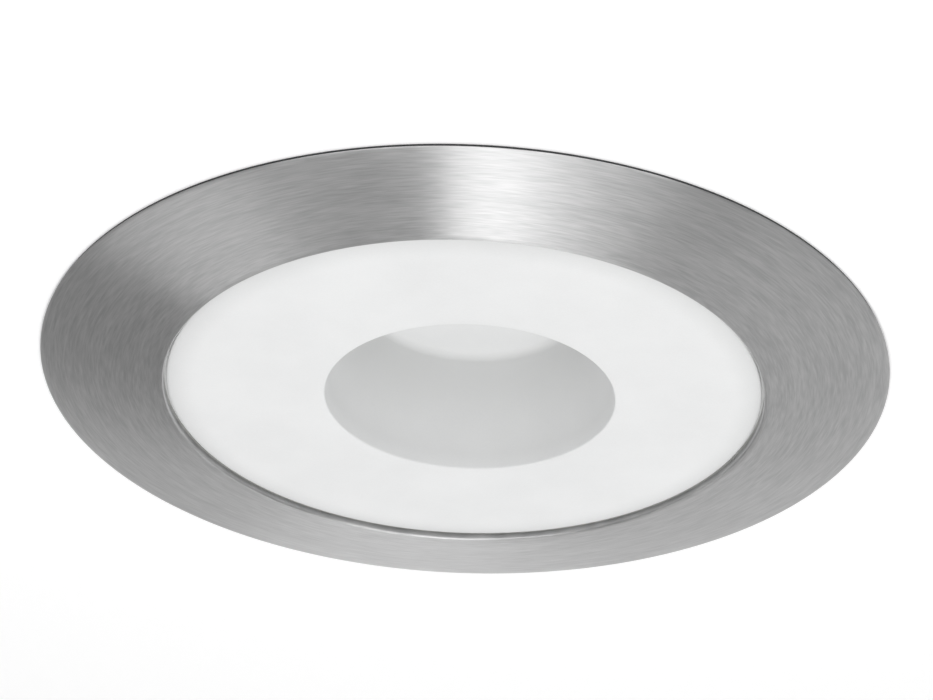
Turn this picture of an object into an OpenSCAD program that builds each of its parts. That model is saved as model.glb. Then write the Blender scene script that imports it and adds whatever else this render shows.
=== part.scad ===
// Recessed downlight for a soffit. Origin: centre of the hole in the soffit, in the plane of the
// soffit's lower face. +Z points up into the soffit; the trim ring and the glass show below z = 0.

/* [Trim ring] */
// How far the trim ring reaches out past the collar
trim_cover = 13; // [12.5:0.5:25]
// How far the trim's inner edge, round the glass, lies inside the collar's radius
lip_inset = 14.85; // [14.5:0.05:15.5]
// How far the inner edge hangs below the soffit
trim_fall = 5.42; // [4.8:0.02:7]
// Height of the trim's upright outer edge
trim_edge_h = 0.75; // [0.5:0.05:1.2]
// Thickness of the trim's sheet
trim_sheet = 0.8; // [0.6:0.05:1]
// Height of the turned-up lip round the glass
lip_h = 1.42; // [1.2:0.02:2]
// How far the trim drops on its springs
trim_travel = 30; // [20:1:30]

/* [Face glass] */
// Depth of the glass face behind the trim's inner edge
glass_recess = 0.52; // [0.2:0.02:1]
// Thickness of the flat ring of glass
glass_t = 5; // [4:0.1:6]
// Gap all round between the glass and the trim's lip
glass_gap = 0.55; // [0.3:0.05:0.8]
// Width of the rounded shoulder at the glass's edge
shoulder_w = 6; // [3:0.5:10]
// Height of the rounded shoulder
shoulder_h = 1; // [0.5:0.1:1.4]
// Width of the flange that the retainer holds
glass_flange_w = 4.9; // [4:0.1:5.5]
// Radius of the well's mouth
well_r = 32.5; // [30:0.5:36]
// Depth of the well from the glass face to its flat top
well_depth = 23.75; // [18:0.25:26]
// How much narrower the well is at its top
well_taper = 3.6; // [2:0.1:6]
// Fillet between the well's wall and its top
well_fillet = 3.2; // [2:0.1:6]
// Glass thickness in the well
well_wall = 3.5; // [2.5:0.1:4]
// How far the pressed well lies off the glass's centre
well_shift = 1.4; // [0:0.1:2]

/* [Housing] */
// Outer radius of the collar, which passes through the soffit
collar_r = 82; // [78:0.5:95]
// Wall of the collar
collar_wall = 1.4; // [1:0.1:1.6]
// Height of the collar above the soffit's lower face
collar_h = 16; // [14:0.5:18]
// Width of the collar's flange under the soffit
flange_w = 6; // [5:0.5:6.5]
// Thickness of the collar's flange
flange_t = 0.8; // [0.6:0.1:0.9]
// How much smaller the can's radius is than the collar's
can_inset = 5.5; // [5:0.5:6]
// Wall of the can and of its cap
can_wall = 0.8; // [0.6:0.1:1]
// Height of the can's top above the soffit's lower face
can_top_z = 100; // [100:1:120]
// Thickness of the soffit board that the clips hold
board_t = 6; // [6:0.5:10]

/* [Lamp] */
// Radius of the lamp's face
lamp_r = 25; // [24:0.5:25.5]
// Length of the lamp without its pins
lamp_len = 47; // [44:0.5:48]
// Gap between the well and the lamp
lamp_gap = 2; // [1:0.5:3]
// Distance from the lamp's axis to each pin
lamp_pin_offset = 5; // [5:0.1:5.4]
// Quarter of the bayonet: how far the lamp twists to come free
lamp_twist = 20; // [15:1:24]

/* [Spring clips] */
// Distance of the clip's pin from the can's outside
clip_standoff = 4.5; // [4.3:0.1:5]
// Height of the clip's pin
clip_pin_z = 31; // [29:0.5:34]
// How far out the clip's foot reaches from its pin
clip_reach = 32; // [26:1:40]
// Width of the clip's strip
clip_w = 16; // [12:1:18]
// Thickness of the clip's strip
clip_t = 1.2; // [1:0.1:1.5]
// Radius of the rubber foot
foot_r = 2.6; // [2.2:0.1:2.8]

/* [Trim springs] */
// Distance of each trim spring from the can's outside
spring_inset = 15.5; // [14.5:0.5:17.5]
// Height of the spring's coil when the trim is shut
spring_z = 9; // [8.5:0.5:11]
// Height of the receiver's slot above the coil when the trim is shut
spring_span = 25; // [24:0.5:27]
// Length of each spring arm
spring_arm = 60; // [60:1:62]
// Lean of each arm when the trim is shut, in degrees
spring_lean = 30; // [28:0.5:30]
// Radius of the spring wire
spring_wire = 0.8; // [0.6:0.05:0.9]

/* [Junction box] */
// Length of the box
box_l = 92; // [88:1:100]
// Width of the box
box_w = 62; // [60:1:70]
// Height of the box
box_h = 34; // [32:1:45]
// Thickness of the box's sheet
box_sheet = 1.2; // [0.9:0.1:1.4]
// Radius of the supply cable that the gland takes
cable_r = 4; // [3:0.25:4.2]

/* [Hidden] */
$fn = 96;
eps = 0.01;

steel = [0.72, 0.73, 0.74];
zinc = [0.78, 0.79, 0.80];
nickel = [0.62, 0.61, 0.60];
white_paint = [0.93, 0.93, 0.92];

// radii and places that follow the collar
trim_r = collar_r + trim_cover;
trim_lip_r = collar_r - lip_inset;
can_r = collar_r - can_inset;
clip_pin_y = can_r + clip_standoff;
spring_x = can_r - spring_inset;

// trim cone
fall_slope = (trim_fall - trim_edge_h) / (trim_r - trim_lip_r);
sheet_rise = trim_sheet * sqrt(1 + fall_slope * fall_slope);
function cone_under(r) = -trim_edge_h - (trim_r - r) * fall_slope;
function cone_over(r) = min(0, cone_under(r) + sheet_rise);
lip_top_z = -trim_fall + lip_h;
lip_sheet = 0.6;
lip_round = 0.5;
rim_in_r = trim_r - max(trim_sheet, (sheet_rise - trim_edge_h) / fall_slope + 0.1);

// glass
glass_face_z = -trim_fall + glass_recess;
glass_top_z = glass_face_z + glass_t;
glass_r = trim_lip_r - glass_gap;
glass_flange_r = glass_r + glass_flange_w;
gasket_t = 0.8;
glass_flange_z = lip_top_z + gasket_t;
shoulder_z = glass_face_z + shoulder_h;
well_top_z = glass_face_z + well_depth;
well_back_z = well_top_z + well_wall;

// retainer
retainer_t = 1;
retainer_top_z = glass_top_z + retainer_t;
retainer_r = collar_r - collar_wall - 2;
retainer_in_r = spring_x - 1;
stud_at_r = glass_flange_r + 4;
stud_r = 1.5;
stud_top_z = retainer_top_z + 3.9;
nut_h = 2.4;
nut_af = 5.5;
stud_angles = [45 : 90 : 315];

// can
can_in_r = can_r - can_wall;
collar_top_z = collar_h + collar_wall;
can_foot_r = collar_r - 0.4;
collar_screw_r = (can_r + can_foot_r) / 2;
cap_top_z = can_top_z + box_sheet;
cap_rim_h = 12;
cap_screw_z = can_top_z - cap_rim_h / 2;

// lamp and holder
lamp_face_z = well_back_z + lamp_gap;
lamp_back_z = lamp_face_z + lamp_len;
pin_neck_r = 1.6;
pin_neck_h = 4;
pin_head_r = 2.5;
pin_head_h = 3;
holder_z = lamp_back_z + 0.2;
holder_h = 17;
holder_r = 13.5;
holder_top_z = holder_z + holder_h;

// clips
clip_foot_z = board_t + foot_r + 0.05;
clip_drop = clip_pin_z - clip_foot_z;
clip_len = sqrt(clip_reach * clip_reach + clip_drop * clip_drop);
clip_lean = atan2(clip_drop, clip_reach);
clip_pin_r = 1.5;
clip_wire = 0.55;
clip_coil_r = clip_pin_r + clip_wire + 0.5;
clip_ear_r = 2.9;
bracket_t = 1.2;
bracket_plate = 1;
lug_in = clip_w / 2 + clip_t + 1;
lug_out = lug_in + bracket_t;
bracket_half = lug_out + 0.8;

// trim springs
receiver_z = spring_z + spring_span;
receiver_t = 1.2;
coil_r = 3.6;
hanger_pin_r = 2.4;
coil_pitch = 2 * spring_wire + 0.1;
coil_turns = 2.5;
coil_from = spring_wire + 0.05;
arm_x = coil_from + coil_pitch * coil_turns;
hook_len = 5;
// The slot takes the arms half way down, where they stand furthest apart
mid_lean = (spring_lean + atan(spring_span * tan(spring_lean) / (spring_span + trim_travel))) / 2;
slot_half = (spring_span + trim_travel / 2 + receiver_t) * tan(mid_lean) - (coil_r - spring_wire) / cos(mid_lean) + 0.6;
hanger_half = arm_x + spring_wire + 1.6;

// junction box
box_z = cap_top_z;
box_floor_z = box_z + box_sheet;
box_top_z = box_z + box_h;
bush_x = -24;
bush_hole_r = 5.5;
lid_gap = 0.3;
lid_gasket_t = 0.8;
lid_z = box_top_z + lid_gasket_t;
lid_skirt = 6;
lid_play = 0.5;
hinge_y = -box_w / 2 - 2.6;
hinge_z = box_top_z - 2;
hinge_pin_r = 1.2;
knuckle_r = 2.4;
knuckle_l = 14;
knuckle_gap = 0.5;
hinge_half = box_l / 2 - 12;
lid_knuckle_x = hinge_half - knuckle_l - knuckle_gap;
box_screw_x = box_l / 2 - 12;
box_screw_y = box_w / 2 - 7;
knockout_x = box_l / 4 - 1;
gland_z = box_z + box_h / 2 - 1.5;
gland_hole_r = 8;
block_x = 12;
block_l = 18;
block_w = 30;
block_h = 15;
pole_pitch = 10;
lead_r = 1.1;
earth_x = -18;
earth_y = box_w / 2 - 9;

// ---- shapes used by more than one piece ----

// A piece and its copy across the plane x = 0
module both_x() {
    children();
    mirror([1, 0, 0]) children();
}

// A piece and its copy across the plane y = 0
module both_y() {
    children();
    mirror([0, 1, 0]) children();
}

// A flat ring between two radii
module ring(r_in, r_out, z, h) {
    translate([0, 0, z]) difference() {
        cylinder(r = r_out, h = h);
        translate([0, 0, -1]) cylinder(r = r_in, h = h + 2);
    }
}

// A block given by its low and high corners
module block(low, high) {
    translate(low) cube(high - low);
}

// A rod along X
module rod_x(x0, x1, y, z, r) {
    translate([x0, y, z]) rotate([0, 90, 0]) cylinder(r = r, h = x1 - x0);
}

// A pan head screw that points down, its head resting at the origin
module pan_screw(r, length, head_r, head_h) {
    difference() {
        union() {
            translate([0, 0, -length]) cylinder(r = r, h = length + eps);
            cylinder(r = head_r, h = head_h * 0.55);
            intersection() {
                translate([0, 0, head_h - head_r * 1.6]) sphere(r = head_r * 1.6);
                cylinder(r = head_r, h = head_h);
            }
        }
        for (turn = [0, 90]) rotate([0, 0, turn])
            translate([-head_r * 0.6, -head_r * 0.12, head_h * 0.5]) cube([head_r * 1.2, head_r * 0.24, head_h]);
    }
}

// A rivet that points down, with a low domed head resting at the origin
module rivet(r, length, head_r) {
    translate([0, 0, -length]) cylinder(r = r, h = length + eps);
    intersection() {
        translate([0, 0, head_r * 0.5 - head_r * 1.25]) sphere(r = head_r * 1.25);
        cylinder(r = head_r, h = head_r);
    }
}

// A hexagonal nut with a round hole
module hex_nut(across, h, hole_r) {
    difference() {
        rotate([0, 0, 30]) cylinder(r = across / sqrt(3), h = h, $fn = 6);
        translate([0, 0, -1]) cylinder(r = hole_r, h = h + 2);
    }
}

// ---- wire: a tube swept along a list of points ----

function unit(v) = v / norm(v);
function along(p, i) = unit(p[min(i + 1, len(p) - 1)] - p[max(i - 1, 0)]);
function first_side(t) = unit(cross(t, abs(t.z) < 0.9 ? [0, 0, 1] : [1, 0, 0]));
// the side vector at each point, carried from the one before so that the tube doesn't twist
function carried(p, i = 0, side = [0, 0, 0], list = []) = i == len(p) ? list :
    let (t = along(p, i),
         s = i == 0 ? first_side(t) : unit(side - t * (side * t)))
    carried(p, i + 1, s, concat(list, [s]));

module wire(p, r, sides) {
    side = carried(p);
    n = len(p);
    points = [for (i = [0 : n - 1]) let (t = along(p, i), a = side[i], b = cross(t, a))
        for (k = [0 : sides - 1]) p[i] + r * (cos(360 * k / sides) * a + sin(360 * k / sides) * b)];
    walls = [for (i = [0 : n - 2]) for (k = [0 : sides - 1]) let (m = (k + 1) % sides)
        for (tri = [[i * sides + k, i * sides + m, (i + 1) * sides + k],
                    [i * sides + m, (i + 1) * sides + m, (i + 1) * sides + k]]) tri];
    start = [for (k = [1 : sides - 2]) [0, k + 1, k]];
    last = (n - 1) * sides;
    end = [for (k = [1 : sides - 2]) [last, last + k, last + k + 1]];
    polyhedron(points = points, faces = [for (f = concat(walls, start, end)) [f[0], f[2], f[1]]]);
}

// a smooth curve through hand-chosen points
function curve_at(p, i, u) =
    let (a = p[max(i - 1, 0)], b = p[i], c = p[i + 1], d = p[min(i + 2, len(p) - 1)])
    0.5 * (2 * b + (c - a) * u + (2 * a - 5 * b + 4 * c - d) * u * u + (3 * b - a - 3 * c + d) * u * u * u);
function curve(p, steps) = concat(
    [for (i = [0 : len(p) - 2]) for (k = [0 : steps - 1]) curve_at(p, i, k / steps)], [p[len(p) - 1]]);

// ---- trim assembly ----

module trim_ring() {
    edge_round = 0.25;
    bend_x = trim_lip_r + lip_round;
    bend_z = cone_under(trim_lip_r) + lip_round;
    color(nickel) rotate_extrude() polygon(concat(
        [[trim_lip_r, lip_top_z]],
        [for (a = [180 : 15 : 270]) [bend_x + lip_round * cos(a), bend_z + lip_round * sin(a)]],
        [for (a = [280 : 20 : 360])
            [trim_r - edge_round + edge_round * cos(a), -trim_edge_h + edge_round + edge_round * sin(a)]],
        [[trim_r, 0], [rim_in_r, 0], [rim_in_r, cone_over(rim_in_r)],
         [trim_lip_r + lip_sheet, cone_over(trim_lip_r + lip_sheet)],
         [trim_lip_r + lip_sheet, lip_top_z]]));
}

// Foam outside the collar's flange, pressed between the trim and the soffit
module trim_gasket() {
    r0 = collar_r + flange_w + 0.6;
    r1 = min(r0 + 4, trim_r - 2);
    color([0.15, 0.15, 0.16]) rotate_extrude()
        polygon([[r0, cone_over(r0)], [r1, cone_over(r1)], [r1, 0], [r0, 0]]);
}

module trim_studs() {
    color(steel) for (a = stud_angles) rotate([0, 0, a]) difference() {
        translate([stud_at_r, 0, cone_under(stud_at_r)]) cylinder(r = stud_r, h = stud_top_z - cone_under(stud_at_r));
        // each stud stops on the slope of the trim
        rotate_extrude() polygon([[stud_at_r - 4, cone_over(stud_at_r - 4)], [stud_at_r + 4, cone_over(stud_at_r + 4)],
            [stud_at_r + 4, cone_under(stud_at_r) - 4], [stud_at_r - 4, cone_under(stud_at_r) - 4]]);
    }
}

module glass_gasket() {
    r0 = trim_lip_r + 0.05;
    r1 = glass_flange_r - 1.1;
    back = trim_lip_r + lip_sheet;
    color([0.82, 0.82, 0.80]) rotate_extrude() polygon([[r0, lip_top_z], [back, lip_top_z], [back, cone_over(back)],
        [r1, min(cone_over(r1), glass_flange_z - 0.1)], [r1, glass_flange_z], [r0, glass_flange_z]]);
}

// Profile of the well's hollow, with its rounded mouth and top
module well_hollow() {
    mouth_round = 0.5;
    top_r = well_r - well_taper;
    rotate_extrude() polygon(concat(
        [[0, glass_face_z - 1], [well_r + mouth_round, glass_face_z - 1]],
        [for (a = [270 : -15 : 180]) [well_r + mouth_round + mouth_round * cos(a), glass_face_z + mouth_round + mouth_round * sin(a)]],
        [for (a = [0 : 15 : 90]) [top_r - well_fillet + well_fillet * cos(a), well_top_z - well_fillet + well_fillet * sin(a)]],
        [[0, well_top_z]]));
}

module face_glass() {
    back_r = well_r - well_taper + well_wall;
    back_fillet = well_fillet + well_wall * 0.6;
    color([0.96, 0.97, 0.97]) difference() {
        union() {
            rotate_extrude() polygon(concat(
                [[0, glass_face_z]],
                [for (a = [90 : -10 : 0]) [glass_r - shoulder_w + shoulder_w * cos(a), shoulder_z - shoulder_h * sin(a)]],
                [[glass_r, glass_flange_z], [glass_flange_r, glass_flange_z],
                 [glass_flange_r, glass_top_z - 0.3], [glass_flange_r - 0.3, glass_top_z], [0, glass_top_z]]));
            translate([well_shift, 0, 0]) rotate_extrude() polygon(concat(
                [[0, glass_face_z + 1], [well_r + well_wall, glass_face_z + 1]],
                [for (a = [0 : 15 : 90]) [back_r - back_fillet + back_fillet * cos(a), well_back_z - back_fillet + back_fillet * sin(a)]],
                [[0, well_back_z]]));
        }
        translate([well_shift, 0, 0]) well_hollow();
    }
}

module retainer_ring() {
    color(zinc) difference() {
        ring(retainer_in_r, retainer_r, glass_top_z, retainer_t);
        for (a = stud_angles) rotate([0, 0, a])
            translate([stud_at_r, 0, glass_top_z - 1]) cylinder(r = stud_r + 0.05, h = retainer_t + 2);
        both_x() translate([spring_x + 2.6, 0, glass_top_z - 1]) cylinder(r = 1.5, h = retainer_t + 2);
    }
}

module retainer_nuts() {
    color(zinc) for (a = stud_angles) rotate([0, 0, a])
        translate([stud_at_r, 0, retainer_top_z]) hex_nut(nut_af, nut_h, stud_r);
}

// A bent bracket on each side of the retainer, whose two cheeks carry a pin
module spring_hangers() {
    cheek_t = 1;
    half_w = 6;
    color(zinc) both_x() difference() {
        union() {
            block([spring_x - hanger_half, -half_w, retainer_top_z], [spring_x + hanger_half, half_w, retainer_top_z + cheek_t]);
            for (x = [spring_x - hanger_half, spring_x + hanger_half - cheek_t]) {
                block([x, -4, retainer_top_z], [x + cheek_t, 4, spring_z]);
                rod_x(x, x + cheek_t, 0, spring_z, 4);
            }
        }
        rod_x(spring_x - hanger_half - 1, spring_x + hanger_half + 1, 0, spring_z, hanger_pin_r);
        translate([spring_x + 2.6, 0, retainer_top_z - 1]) cylinder(r = 1.5, h = 4);
    }
}

module hanger_rivets() {
    color(steel) both_x() translate([spring_x + 2.6, 0, retainer_top_z + 1]) rivet(1.5, retainer_t + 1, 2.4);
}

module hanger_pins() {
    color(steel) both_x() {
        rod_x(spring_x - hanger_half - 0.4, spring_x + hanger_half + 0.4, 0, spring_z, hanger_pin_r);
        rod_x(spring_x + hanger_half, spring_x + hanger_half + 0.8, 0, spring_z, 3.2);
        rod_x(spring_x - hanger_half - 0.8, spring_x - hanger_half, 0, spring_z, 3.2);
    }
}

// One half of a trim spring: its turns from the middle of the coil outwards, its arm and its hook.
// It lies on the side x > 0, leans towards +Y, and its turns grow towards `way` along X.
function arm_points(way) =
    let (leave = 180 - spring_lean,
         across = [0, sin(spring_lean), cos(spring_lean)],
         out = [0, cos(spring_lean), -sin(spring_lean)],
         centre = [spring_x, 0, spring_z],
         steps = 8 * coil_turns,
         from = centre + [way * arm_x, -coil_r * cos(spring_lean), coil_r * sin(spring_lean)],
         tip = from + across * spring_arm)
    concat(
        [for (i = [0 : steps]) let (a = leave + 360 * coil_turns * (1 - i / steps))
            centre + [way * (coil_from + (arm_x - coil_from) * i / steps), coil_r * cos(a), coil_r * sin(a)]],
        [from + across * 6, from + across * spring_arm * 0.5, tip - across * 2.2],
        [tip - across * 0.7 + out * 0.6, tip + out * 2, tip + out * hook_len]);

module spring_half(way) {
    color(steel) wire(arm_points(way), spring_wire, 6);
}

module right_spring_back_arm() { spring_half(1); }
module right_spring_front_arm() { mirror([0, 1, 0]) spring_half(-1); }
module left_spring_back_arm() { mirror([1, 0, 0]) spring_half(1); }
module left_spring_front_arm() { mirror([1, 0, 0]) mirror([0, 1, 0]) spring_half(-1); }

// ---- housing ----

module mounting_collar() {
    color(zinc) difference() {
        union() {
            ring(collar_r - collar_wall, collar_r, -flange_t, collar_top_z + flange_t);
            ring(collar_r - collar_wall, collar_r + flange_w, -flange_t, flange_t);
            ring(can_in_r, collar_r, collar_h, collar_wall);
        }
        for (a = stud_angles) rotate([0, 0, a]) translate([collar_screw_r, 0, collar_h - 1]) cylinder(r = 1, h = 4);
    }
}

module can_shell() {
    color(white_paint) difference() {
        union() {
            ring(can_in_r, can_r, collar_top_z, can_top_z - collar_top_z);
            ring(can_in_r, can_foot_r, collar_top_z, can_wall);
        }
        for (a = stud_angles) rotate([0, 0, a]) {
            translate([collar_screw_r, 0, collar_top_z - 1]) cylinder(r = 1, h = 4);
            rod_x(can_r - 4, can_r + 2, 0, cap_screw_z, 1.2);
        }
        both_y() clip_rivet_places() translate([0, 0, -3]) cylinder(r = 1.2, h = 4);
        both_x() receiver_rivet_places() translate([0, 0, -3]) cylinder(r = 1.2, h = 4);
    }
}

module collar_screws() {
    color(zinc) for (a = stud_angles) rotate([0, 0, a])
        translate([collar_screw_r, 0, collar_top_z + can_wall]) pan_screw(1, collar_wall + can_wall + 1.2, 1.9, 1.4);
}

module can_cap() {
    rim_gap = 0.1;
    color(white_paint) difference() {
        union() {
            translate([0, 0, can_top_z]) cylinder(r = can_r + rim_gap + box_sheet, h = box_sheet);
            ring(can_r + rim_gap, can_r + rim_gap + box_sheet, can_top_z - cap_rim_h, cap_rim_h + eps);
        }
        translate([bush_x, 0, can_top_z - 1]) cylinder(r = bush_hole_r, h = box_sheet + 2);
        for (a = stud_angles) rotate([0, 0, a]) rod_x(can_r - 4, can_r + 4, 0, cap_screw_z, 1.2);
        strap_screw_places() translate([0, 0, -4]) cylinder(r = 1.2, h = 8);
        box_screw_places() translate([0, 0, -4]) cylinder(r = 1.5, h = 8);
    }
}

module cap_screws() {
    color(zinc) for (a = stud_angles) rotate([0, 0, a])
        translate([can_r + 0.1 + box_sheet, 0, cap_screw_z]) rotate([0, 90, 0]) pan_screw(1.2, 5, 2.3, 1.7);
}

// Where the receivers' rivets go through the can's wall, pointing outwards
module receiver_rivet_places() {
    for (a = [-14, 14]) rotate([0, 0, a])
        translate([can_r, 0, receiver_z - 9]) rotate([0, 90, 0]) children();
}

// Inside the can on each side: a shelf whose slot holds the two arms of a trim spring
module spring_receivers() {
    shelf_in = spring_x - arm_x - spring_wire - 3;
    slot_in = shelf_in + 2;
    slot_out = spring_x + arm_x + spring_wire + 0.8;
    leg_t = 1.2;
    color(zinc) both_x() difference() {
        union() {
            intersection() {
                translate([0, 0, receiver_z]) cylinder(r = can_in_r, h = receiver_t);
                block([shelf_in, -slot_half - 3, receiver_z - 1], [can_r, slot_half + 3, receiver_z + receiver_t + 1]);
            }
            rotate([0, 0, -18]) rotate_extrude(angle = 36)
                translate([can_in_r - leg_t, receiver_z - 14]) square([leg_t, 14 + receiver_t]);
        }
        block([slot_in, -slot_half, receiver_z - 2], [slot_out, slot_half, receiver_z + receiver_t + 1]);
        receiver_rivet_places() translate([0, 0, -6]) cylinder(r = 1.2, h = 8);
    }
}

module receiver_rivets() {
    color(steel) both_x() receiver_rivet_places() {
        rivet(1.2, can_wall + 1.2 + 0.9, 2.2);
        translate([0, 0, -can_wall - 2.1]) cylinder(r = 2, h = 0.7);
    }
}

// ---- spring clips ----

// Where a clip bracket's rivets go through the can's wall on the side y > 0, pointing outwards
module clip_rivet_places() {
    for (dz = [-8.5, 8.5]) translate([0, can_r, clip_pin_z + dz]) rotate([-90, 0, 0]) children();
}

module clip_brackets() {
    lug_r = 3.6;
    half_turn = asin(bracket_half / (can_r + bracket_plate));
    color(zinc) both_y() difference() {
        union() {
            rotate([0, 0, 90 - half_turn]) rotate_extrude(angle = 2 * half_turn)
                translate([can_r, clip_pin_z - 12]) square([bracket_plate, 24]);
            for (x = [-lug_out, lug_in]) {
                difference() {
                    block([x, can_r - 4, clip_pin_z - lug_r], [x + bracket_t, clip_pin_y, clip_pin_z + lug_r]);
                    translate([0, 0, clip_pin_z - 10]) cylinder(r = can_r, h = 20);
                }
                rod_x(x, x + bracket_t, clip_pin_y, clip_pin_z, lug_r);
            }
        }
        rod_x(-lug_out - 1, lug_out + 1, clip_pin_y, clip_pin_z, clip_pin_r);
        clip_rivet_places() translate([0, 0, -3]) cylinder(r = 1.2, h = 8);
    }
}

module clip_rivets() {
    color(steel) both_y() clip_rivet_places() {
        translate([0, 0, bracket_plate]) rivet(1.2, can_wall + bracket_plate + 0.9, 2.2);
        translate([0, 0, -can_wall - 0.95]) cylinder(r = 2, h = 0.9);
    }
}

module clip_pins() {
    color(steel) both_y() {
        rod_x(-lug_out - 0.4, lug_out + 0.4, clip_pin_y, clip_pin_z, clip_pin_r);
        rod_x(lug_out, lug_out + 0.8, clip_pin_y, clip_pin_z, 2.3);
        rod_x(-lug_out - 0.8, -lug_out, clip_pin_y, clip_pin_z, 2.3);
    }
}

// A clip in its own plane: pin at the origin, its strip along +Y, then leant down to the board
module clip_place() {
    translate([0, clip_pin_y, clip_pin_z]) rotate([-clip_lean, 0, 0]) children();
}

module clip_arm() {
    ear_len = 15;
    strip_from = clip_coil_r + clip_wire + 1;
    roll_r = foot_r - 0.9;
    color(steel) clip_place() difference() {
        union() {
            block([-clip_w / 2, strip_from, -clip_t / 2], [clip_w / 2, clip_len, clip_t / 2]);
            rod_x(-clip_w / 2, clip_w / 2, clip_len, 0, roll_r);
            for (x = [-clip_w / 2 - clip_t, clip_w / 2]) {
                rod_x(x, x + clip_t, 0, 0, clip_ear_r);
                block([x, 0, -clip_ear_r], [x + clip_t, ear_len, clip_ear_r]);
                block([min(x, x + clip_t), ear_len - 1, -clip_t / 2], [x + clip_t, ear_len + 6, clip_t / 2]);
            }
        }
        rod_x(-clip_w, clip_w, 0, 0, clip_pin_r + 0.06);
        // a window in the strip, as it is stamped
        block([-clip_w / 4, strip_from + 7, -clip_t], [clip_w / 4, clip_len - 8, clip_t]);
    }
}

// Rubber sleeve on the rolled end
module clip_foot() {
    sleeve_half = clip_w / 2 - 0.5;
    color([0.12, 0.12, 0.12]) clip_place() difference() {
        rod_x(-sleeve_half, sleeve_half, clip_len, 0, foot_r);
        rod_x(-sleeve_half - 1, sleeve_half + 1, clip_len, 0, foot_r - 0.9);
        block([-sleeve_half - 1, clip_len - foot_r - 1, -clip_t / 2], [sleeve_half + 1, clip_len, clip_t / 2]);
    }
}

// The clip's torsion spring is wound from the middle of its pin both ways. The half on x > 0 ends in a
// leg that presses on the clip, and the half on x < 0 ends in a tail against the can.
clip_pitch = 2 * clip_wire + 0.15;
function clip_coil(way, from, to) =
    let (steps = round(8 * abs(to - from) / 360))
    [for (i = [0 : steps]) let (a = from + (to - from) * i / steps)
        [way * (clip_wire + 0.05 + clip_pitch * abs(to - from) / 360 * i / steps),
            clip_coil_r * cos(a), clip_coil_r * sin(a)]];

module clip_spring_leg() {
    coil = clip_coil(1, 90 - 360 * 3, 90);
    end = coil[len(coil) - 1];
    rise = clip_t / 2 + clip_wire + 0.05;
    color(steel) clip_place() wire(concat(coil, [[end.x, 3, clip_coil_r - 0.2], [end.x + 0.3, 8, rise],
        [end.x + 0.3, 11, rise]]), clip_wire, 6);
}

module clip_spring_tails() {
    start = 90 - 360 * 3;
    coil = clip_coil(-1, start, start - 360 * 3 + 90);
    end = coil[len(coil) - 1];
    tail_y = can_r + bracket_plate + clip_wire + 0.05 - clip_pin_y;
    color(steel) both_y() translate([0, clip_pin_y, clip_pin_z]) wire(concat(
        [for (p = coil) [p.x, p.y * cos(clip_lean) + p.z * sin(clip_lean), p.z * cos(clip_lean) - p.y * sin(clip_lean)]],
        [[end.x, tail_y + 0.2, 4], [end.x, tail_y, 6]]), clip_wire, 6);
}

module back_clip() { clip_arm(); }
module front_clip() { mirror([0, 1, 0]) clip_arm(); }
module back_clip_foot() { clip_foot(); }
module front_clip_foot() { mirror([0, 1, 0]) clip_foot(); }
module back_clip_spring() { clip_spring_leg(); }
module front_clip_spring() { mirror([0, 1, 0]) clip_spring_leg(); }

// ---- lamp and holder ----

lamp_rim_h = 4;
lamp_neck_r = lamp_r * 0.4;
lamp_base_h = 17;
lamp_collar_h = 6;
lamp_skirt_z = lamp_back_z - lamp_base_h;

module lamp_reflector() {
    wall = 1.2;
    color([0.85, 0.86, 0.88]) rotate_extrude() difference() {
        polygon(concat([[0, lamp_face_z + 2], [lamp_r, lamp_face_z + 2], [lamp_r, lamp_face_z + lamp_rim_h]],
            [for (a = [15 : 15 : 90]) [lamp_neck_r + (lamp_r - 1 - lamp_neck_r) * cos(a),
                lamp_face_z + lamp_rim_h + (lamp_skirt_z - lamp_face_z - lamp_rim_h) * sin(a)]],
            [[0, lamp_skirt_z]]));
        polygon(concat([[0, lamp_face_z + 1], [lamp_r - wall, lamp_face_z + 1], [lamp_r - wall, lamp_face_z + lamp_rim_h]],
            [for (a = [15 : 15 : 90]) [lamp_neck_r - wall + (lamp_r - 1 - lamp_neck_r) * cos(a),
                lamp_face_z + lamp_rim_h + (lamp_skirt_z - lamp_face_z - lamp_rim_h - wall) * sin(a)]],
            [[0, lamp_skirt_z - wall]]));
    }
}

module lamp_lens() {
    color([0.9, 0.95, 1]) rotate_extrude() polygon(concat([[0, lamp_face_z + 2], [0, lamp_face_z]],
        [[lamp_r - 1, lamp_face_z], [lamp_r, lamp_face_z + 1], [lamp_r, lamp_face_z + 2]]));
}

module lamp_base() {
    color([0.92, 0.91, 0.88]) difference() {
        union() {
            translate([0, 0, lamp_skirt_z]) cylinder(r1 = lamp_neck_r + 2, r2 = lamp_neck_r, h = 4);
            translate([0, 0, lamp_skirt_z + 4 - eps]) cylinder(r = lamp_neck_r, h = lamp_base_h - lamp_collar_h);
            translate([0, 0, lamp_back_z - lamp_collar_h]) cylinder(r = lamp_neck_r + 1.5, h = lamp_collar_h);
        }
        both_y() translate([0, lamp_pin_offset, lamp_back_z - 3]) cylinder(r = pin_neck_r, h = 4);
    }
}

module lamp_pins() {
    color(zinc) both_y() translate([0, lamp_pin_offset, lamp_back_z - 3]) {
        cylinder(r = pin_neck_r, h = 3 + pin_neck_h + eps);
        translate([0, 0, 3 + pin_neck_h]) cylinder(r = pin_head_r, h = pin_head_h);
    }
}

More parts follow.
